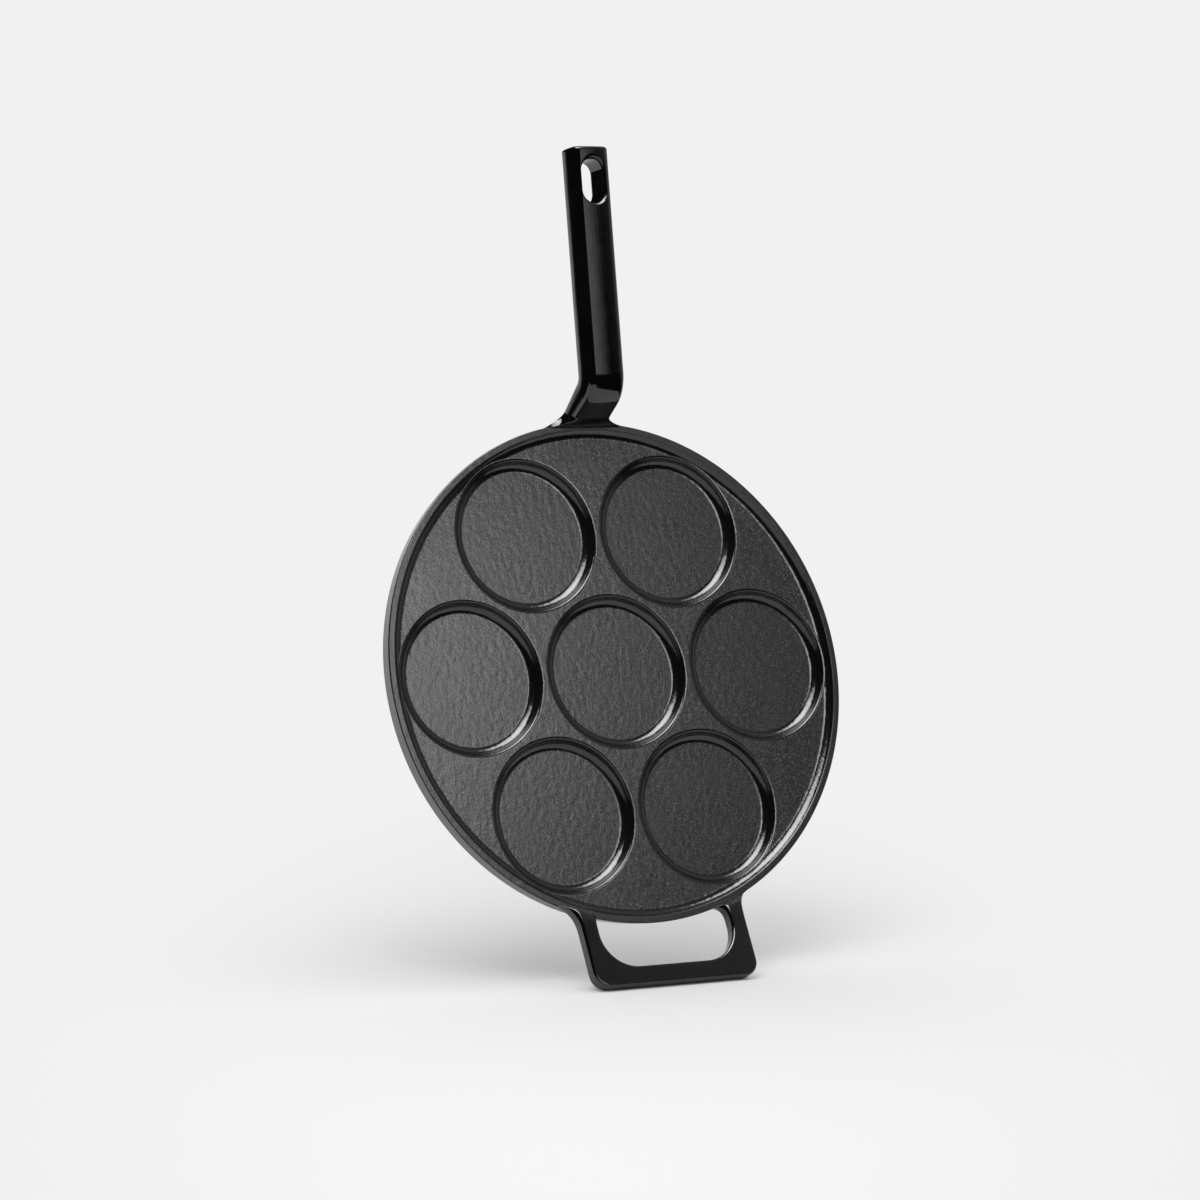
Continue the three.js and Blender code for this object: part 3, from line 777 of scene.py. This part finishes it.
class PAN_OT_loop_handle(bpy.types.Operator):
    """Sweep the loop handle from one flared root round the finger gap to the other"""

    bl_idname = "pancake_pan.loop_handle"
    bl_label = "Loop handle"

    def execute(self, context):
        pan, loop = context.scene.pan_sizes, context.scene.pan_handles
        skin = Skin(pan)
        plane_start = Vector((0, pan.rim_radius, crest_height(pan) + loop.loop_lift))
        gap = loop.gap_width / 2
        centre = Vector((gap - loop.gap_corner, loop.loop_reach - loop.loop_bar - loop.gap_corner))
        edge = loop.loop_width / 2
        rings = [self.section(loop, plane_start, Vector((gap, loop.arm_root)), Vector((edge, loop.arm_root)))]
        for angle in self.turn(loop, centre):
            ray = Vector((math.cos(angle), math.sin(angle)))
            inner = centre + ray * loop.gap_corner
            rings.append(self.section(loop, plane_start, inner, self.outer(loop, centre, ray)))
        top = skin.climb_to_crest(skin.edge[0])
        outline = rounded_rectangle(gap - loop.arm_flare_in, edge + loop.arm_flare_out, loop.root_low, top,
                                    loop.root_round, ROUND_STEPS, 0, LOOP_FLATS)
        holds = [ARM_HOLD + ARM_TOP_HOLD * max(v, 0) ** 2 for _, v in unit_round(LOOP_FLATS)]
        root = flared_root(skin, rings[0], outline, holds, loop.loop_tilt, FLARE_STEPS)
        half = root + rings
        other = [[Vector((-p.x, p.y, p.z)) for p in ring] for ring in half]
        half_turn = Matrix.Rotation(math.pi, 3, "Z")
        piece = swept("loop_handle", [[half_turn @ p for p in ring] for ring in other + half[::-1]])
        smooth(piece, HANDLE_CREASE)
        hand_over(piece, "helper_handle", enamel("wet_black"))
        return {"FINISHED"}

    def section(self, loop, start, inner, outer):
        """A ring between a point on the gap and one on the outer edge, in a tilted plane."""
        span = outer - inner
        outline = rounded_rectangle(0, span.length, -loop.loop_thickness, 0, loop.loop_round, ROUND_STEPS, 0,
                                    LOOP_FLATS)
        ring = []
        for along, height in outline:
            x, reach = inner + span.normalized() * along
            ring.append(start + Vector((x, 0, 0)) + way(loop.loop_tilt) * reach
                        + above(loop.loop_tilt) * height)
        return ring

    def outer(self, loop, start, ray):
        """Where a ray from inside the loop meets its outer edge."""
        side, end, corner = loop.loop_width / 2, loop.loop_reach, loop.loop_corner
        reaches = [(limit - at) / along for limit, at, along in zip((side, end), start, ray) if along > 1e-9]
        square = start + ray * min(reaches)
        if square.x <= side - corner or square.y <= end - corner:
            return square
        offset = start - Vector((side - corner, end - corner))
        nearest = -offset.dot(ray)
        return start + ray * (nearest + math.sqrt(corner ** 2 - offset.length_squared + nearest ** 2))

    def turn(self, loop, centre):
        """Angles round the gap's corner, close together where the outer corner turns."""
        corner = (loop.loop_width / 2 - loop.loop_corner, loop.loop_reach - loop.loop_corner)
        rounded = [math.atan2(y - centre.y, x - centre.x)
                   for x, y in arc(corner, loop.loop_corner, 0, math.pi / 2, ROUND_STEPS)]
        first = [rounded[0] * i / GAP_STEPS for i in range(GAP_STEPS)]
        last = [rounded[-1] + (math.pi / 2 - rounded[-1]) * i / GAP_STEPS for i in range(1, GAP_STEPS + 1)]
        return first + rounded + last


# Stage: the pan keeps its own frame, so the floor it stands on and the camera are turned round it

FLOOR_NORMAL = Vector((0, 0.9604, 0.2787)).normalized()
CAMERA_PLACE = Vector((-1.12307, -0.36596, 1.97396))
CAMERA_RIGHT = Vector((0.8728, -0.1359, 0.4688))
CAMERA_UP = Vector((0.034, 0.975, 0.2195))
CAMERA_SIDE = (CAMERA_RIGHT - FLOOR_NORMAL * CAMERA_RIGHT.dot(FLOOR_NORMAL)).normalized()
AWAY = FLOOR_NORMAL.cross(CAMERA_SIDE)
VIEW_END = 50.0
SUBJECT = Vector((0, 0, 0.008))

# Floor sheet: its reach from the pan, and how far out its shading fades for the camera and in reflections

SHEET_LEFT = 2.5
SHEET_RIGHT = 0.42
SHEET_BACK = 3.4
SHEET_FRONT = 0.85
SHEET_CUTS = 8
SHADOW_OVAL = (1, 0.3, 1)
SHADOW_FADE = (0.1, 0.3)
MIRRORED_FADE = (0.12, 0.4)

# Lamps: their places as seen from the subject

SOFT_PLACE = FLOOR_NORMAL * 1.9 - AWAY * 1.8 - CAMERA_SIDE * 0.3
SOFT_SIZE = (1.5, 1.3)
SHINE_PLACE = FLOOR_NORMAL * 1.25 - AWAY * 0.375 + CAMERA_SIDE * 0.05
SHINE_SIZE = (1.1, 1.15)
SHINE_SPREAD = math.radians(80)
KEY_PLACE = Vector((0.28, 0.18, 0.94)) * 1.15
KEY_SIZE = (0.28, 0.28)
KEY_PIECES = ("cooking_face", "pan_body", "loop_handle")

# Dark room: tones and directions of its cards, and their soft edges as cosines

ROOM_SIZE = 7.0
CLOTH_TONE = 0.008
BACKDROP_TONE, BACKDROP_EDGE, BACKDROP_TOP = 0.88, (0.55, 0.68), (0.1, 0.2)
ROOM_TONE, ROOM_EDGE = 0.42, (0.5, 0.85)
ROOM_SIDE = CAMERA_SIDE * 0.709 + AWAY * 0.497 + FLOOR_NORMAL * 0.5
CARD_TONE, CARD_EDGE, CARD_FOOT, CARD_TOP = 0.27, (0.72, 0.83), (0.32, 0.41), (0.5, 0.85)
RIGHT_CARD = CAMERA_SIDE * 0.978 - AWAY * 0.208
STRIP_TONE, STRIP_FRONT, STRIP_FOOT, STRIP_TOP = 1.2, (0.2, 0.5), (0.13, 0.25), (0.36, 0.42)
STRIP_LEFT, STRIP_RIGHT = (-0.4, -0.2), (-0.03, 0.22)
STRIP = CAMERA_SIDE * 0.766 - AWAY * 0.643
ACROSS_STRIP = CAMERA_SIDE * 0.643 + AWAY * 0.766


class PAN_OT_stage(bpy.types.Operator):
    """Set the floor, the lights and the camera"""

    bl_idname = "pancake_pan.stage"
    bl_label = "Stage"

    def execute(self, context):
        look = context.scene.pan_stage
        self.floor(look)
        self.dark_room()
        self.world(context.scene, look)
        self.lamp("top_soft", SOFT_PLACE, SOFT_SIZE, look.soft_power, gloss=False)
        self.lamp("top_shine", SHINE_PLACE, SHINE_SIZE, look.shine_power, diffuse=False, spread=SHINE_SPREAD)
        self.lamp("key_shine", KEY_PLACE, KEY_SIZE, look.key_power, diffuse=False, only=KEY_PIECES)
        self.camera(context.scene, look)
        context.scene.view_settings.view_transform = "Standard"
        return {"FINISHED"}

    def floor(self, look):
        """A pale sheet under the standing pan, clear when seen from below.

        Away from the shadow it glows like the background, so its ends don't show. It ends early on the right,
        where the gloss then mirrors the dark room.
        """
        deselect()
        loop = bpy.data.objects["loop_handle"]
        low = min(v.co.dot(FLOOR_NORMAL) for v in loop.data.vertices)
        bpy.ops.mesh.primitive_plane_add(size=1.0)
        sheet = bpy.context.object
        sheet.name = "floor"
        bpy.ops.object.mode_set(mode="EDIT")
        bpy.ops.transform.resize(value=(SHEET_LEFT + SHEET_RIGHT, SHEET_BACK + SHEET_FRONT, 1))
        bpy.ops.transform.translate(value=((SHEET_RIGHT - SHEET_LEFT) / 2, (SHEET_BACK - SHEET_FRONT) / 2, 0))
        bpy.ops.mesh.subdivide(number_cuts=SHEET_CUTS)
        bpy.ops.object.mode_set(mode="OBJECT")
        axes = Matrix((CAMERA_SIDE, AWAY, FLOOR_NORMAL)).transposed().to_4x4()
        sheet.matrix_world = Matrix.Translation(FLOOR_NORMAL * low) @ axes
        material = bpy.data.materials.new("paper")
        g = Graph(material)
        place = g.node("ShaderNodeTexCoord", {}, {}, "Object")
        distance = g.vector("LENGTH", place, output="Value")
        from_shadow = g.vector("LENGTH", g.vector("MULTIPLY", place, SHADOW_OVAL), output="Value")
        camera, glossy, through = g.rays()
        below = g.node("ShaderNodeNewGeometry", {}, {}, "Backfacing")
        paper = g.node("ShaderNodeBsdfDiffuse", {}, {"Color": (*look.paper, 1)})
        glow = g.node("ShaderNodeEmission", {}, {"Color": (*look.paper, 1)})
        glowing = camera * g.between(from_shadow, *SHADOW_FADE)
        glowing = glowing + (glossy + through) * g.between(distance, *MIRRORED_FADE)
        lit = g.node("ShaderNodeMixShader", {}, {0: glowing, 1: paper, 2: glow})
        clear = g.node("ShaderNodeBsdfTransparent")
        surface = g.node("ShaderNodeMixShader", {}, {0: below, 1: lit, 2: clear})
        g.node("ShaderNodeOutputMaterial", {}, {"Surface": surface})
        sheet.data.materials.append(material)

    def dark_room(self):
        """Black flats round the set with a few soft pale cards, which only the gloss sees."""
        deselect()
        bpy.ops.mesh.primitive_cube_add(size=ROOM_SIZE, location=SUBJECT)
        room = bpy.context.object
        room.name = "dark_flats"
        bpy.ops.object.mode_set(mode="EDIT")
        bpy.ops.mesh.select_all(action="SELECT")
        bpy.ops.mesh.flip_normals()
        bpy.ops.object.mode_set(mode="OBJECT")
        material = bpy.data.materials.new("black_cloth")
        g = Graph(material)
        place = g.node("ShaderNodeTexCoord", {}, {}, "Object")
        ray = g.vector("NORMALIZE", place)
        height = g.dot(ray, FLOOR_NORMAL)
        backdrop = g.between(g.dot(ray, AWAY), *BACKDROP_EDGE) * (1 - g.between(height, *BACKDROP_TOP))
        room_side = g.between(g.dot(ray, ROOM_SIDE), *ROOM_EDGE)
        across = g.dot(ray, ACROSS_STRIP)
        strip = (1 - g.between(across, *STRIP_RIGHT)) * g.between(across, *STRIP_LEFT)
        strip = strip * g.between(g.dot(ray, STRIP), *STRIP_FRONT)
        strip = strip * g.between(height, *STRIP_FOOT) * (1 - g.between(height, *STRIP_TOP))
        card = g.between(g.dot(ray, RIGHT_CARD), *CARD_EDGE)
        card = card * g.between(height, *CARD_FOOT) * (1 - g.between(height, *CARD_TOP))
        surface = g.node("ShaderNodeEmission", {}, {"Color": (CLOTH_TONE, CLOTH_TONE, CLOTH_TONE, 1)})
        for share, tone in ((room_side, ROOM_TONE), (card, CARD_TONE), (strip, STRIP_TONE),
                            (backdrop, BACKDROP_TONE)):
            pale = g.node("ShaderNodeEmission", {}, {"Color": (tone, tone, tone, 1)})
            surface = g.node("ShaderNodeMixShader", {}, {0: share, 1: surface, 2: pale})
        g.node("ShaderNodeOutputMaterial", {}, {"Surface": surface})
        room.data.materials.append(material)
        room.visible_camera = False
        room.visible_diffuse = False
        room.visible_shadow = False
        room.visible_transmission = False

    def world(self, scene, look):
        """The pale background, and an even fill."""
        world = bpy.data.worlds.new("studio")
        scene.world = world
        world.cycles.sampling_method = "NONE"
        g = Graph(world)
        camera, glossy, through = g.rays()
        seen = g.node("ShaderNodeMath", {"operation": "MAXIMUM"}, {0: camera, 1: glossy})
        seen = g.node("ShaderNodeMath", {"operation": "MAXIMUM"}, {0: seen, 1: through})
        fill = g.node("ShaderNodeBackground", {}, {"Color": (1, 1, 1, 1), "Strength": look.fill})
        paper = g.node("ShaderNodeBackground", {}, {"Color": (*look.paper, 1), "Strength": 1.0})
        mixed = g.node("ShaderNodeMixShader", {}, {0: seen, 1: fill, 2: paper})
        g.node("ShaderNodeOutputWorld", {}, {"Surface": mixed})

    def lamp(self, name, place, size, power, diffuse=True, gloss=True, only=(), spread=math.pi):
        """A soft box that faces the pan, squared up to the camera, for all or only some of the pieces."""
        deselect()
        bpy.ops.object.light_add(type="AREA")
        lamp = bpy.context.object
        lamp.name = name
        back = place.normalized()
        side = (CAMERA_SIDE - back * CAMERA_SIDE.dot(back)).normalized()
        axes = Matrix((side, back.cross(side), back)).transposed().to_4x4()
        lamp.matrix_world = Matrix.Translation(SUBJECT + place) @ axes
        lamp.data.shape = "RECTANGLE"
        lamp.data.size, lamp.data.size_y = size
        lamp.data.energy = power
        lamp.data.spread = spread
        lamp.visible_camera = False
        lamp.visible_diffuse = diffuse
        lamp.visible_glossy = gloss
        if only:
            lit = bpy.data.collections.new(name)
            for piece in only:
                lit.objects.link(bpy.data.objects[piece])
            lamp.light_linking.receiver_collection = lit

    def camera(self, scene, look):
        """The place and the lens of the photograph."""
        deselect()
        bpy.ops.object.camera_add()
        camera = bpy.context.object
        camera.name = "camera"
        right = CAMERA_RIGHT.normalized()
        back = right.cross(CAMERA_UP).normalized()
        up = back.cross(right)
        turned_to = Matrix((right, up, back)).transposed().to_4x4()
        camera.matrix_world = Matrix.Translation(CAMERA_PLACE) @ turned_to
        camera.data.lens = look.lens
        camera.data.clip_end = VIEW_END
        scene.camera = camera


class PAN_PT_sidebar(bpy.types.Panel):
    """Everything that makes up the pan, in order"""

    bl_idname = "PAN_PT_sidebar"
    bl_label = "Pancake pan"
    bl_space_type = "VIEW_3D"
    bl_region_type = "UI"
    bl_category = "Pancake pan"

    def draw(self, context):
        for operator in OPERATORS:
            self.layout.operator(operator.bl_idname)


OPERATORS = (PAN_OT_body, PAN_OT_cooking_face, PAN_OT_bar_handle, PAN_OT_loop_handle, PAN_OT_stage)
GROUPS = {"pan_sizes": PanSizes, "pan_handles": HandleSizes, "pan_enamel": EnamelLook, "pan_stage": StageLook}


def register():
    for cls in (*GROUPS.values(), *OPERATORS, PAN_PT_sidebar):
        bpy.utils.register_class(cls)
    for name, group in GROUPS.items():
        setattr(bpy.types.Scene, name, PointerProperty(type=group))


def unregister():
    for name in GROUPS:
        delattr(bpy.types.Scene, name)
    for cls in reversed((*GROUPS.values(), *OPERATORS, PAN_PT_sidebar)):
        bpy.utils.unregister_class(cls)


def main():
    register()
    bpy.ops.pancake_pan.body()
    bpy.ops.pancake_pan.cooking_face()
    bpy.ops.pancake_pan.bar_handle()
    bpy.ops.pancake_pan.loop_handle()
    bpy.ops.pancake_pan.stage()


if __name__ == "__main__":
    main()
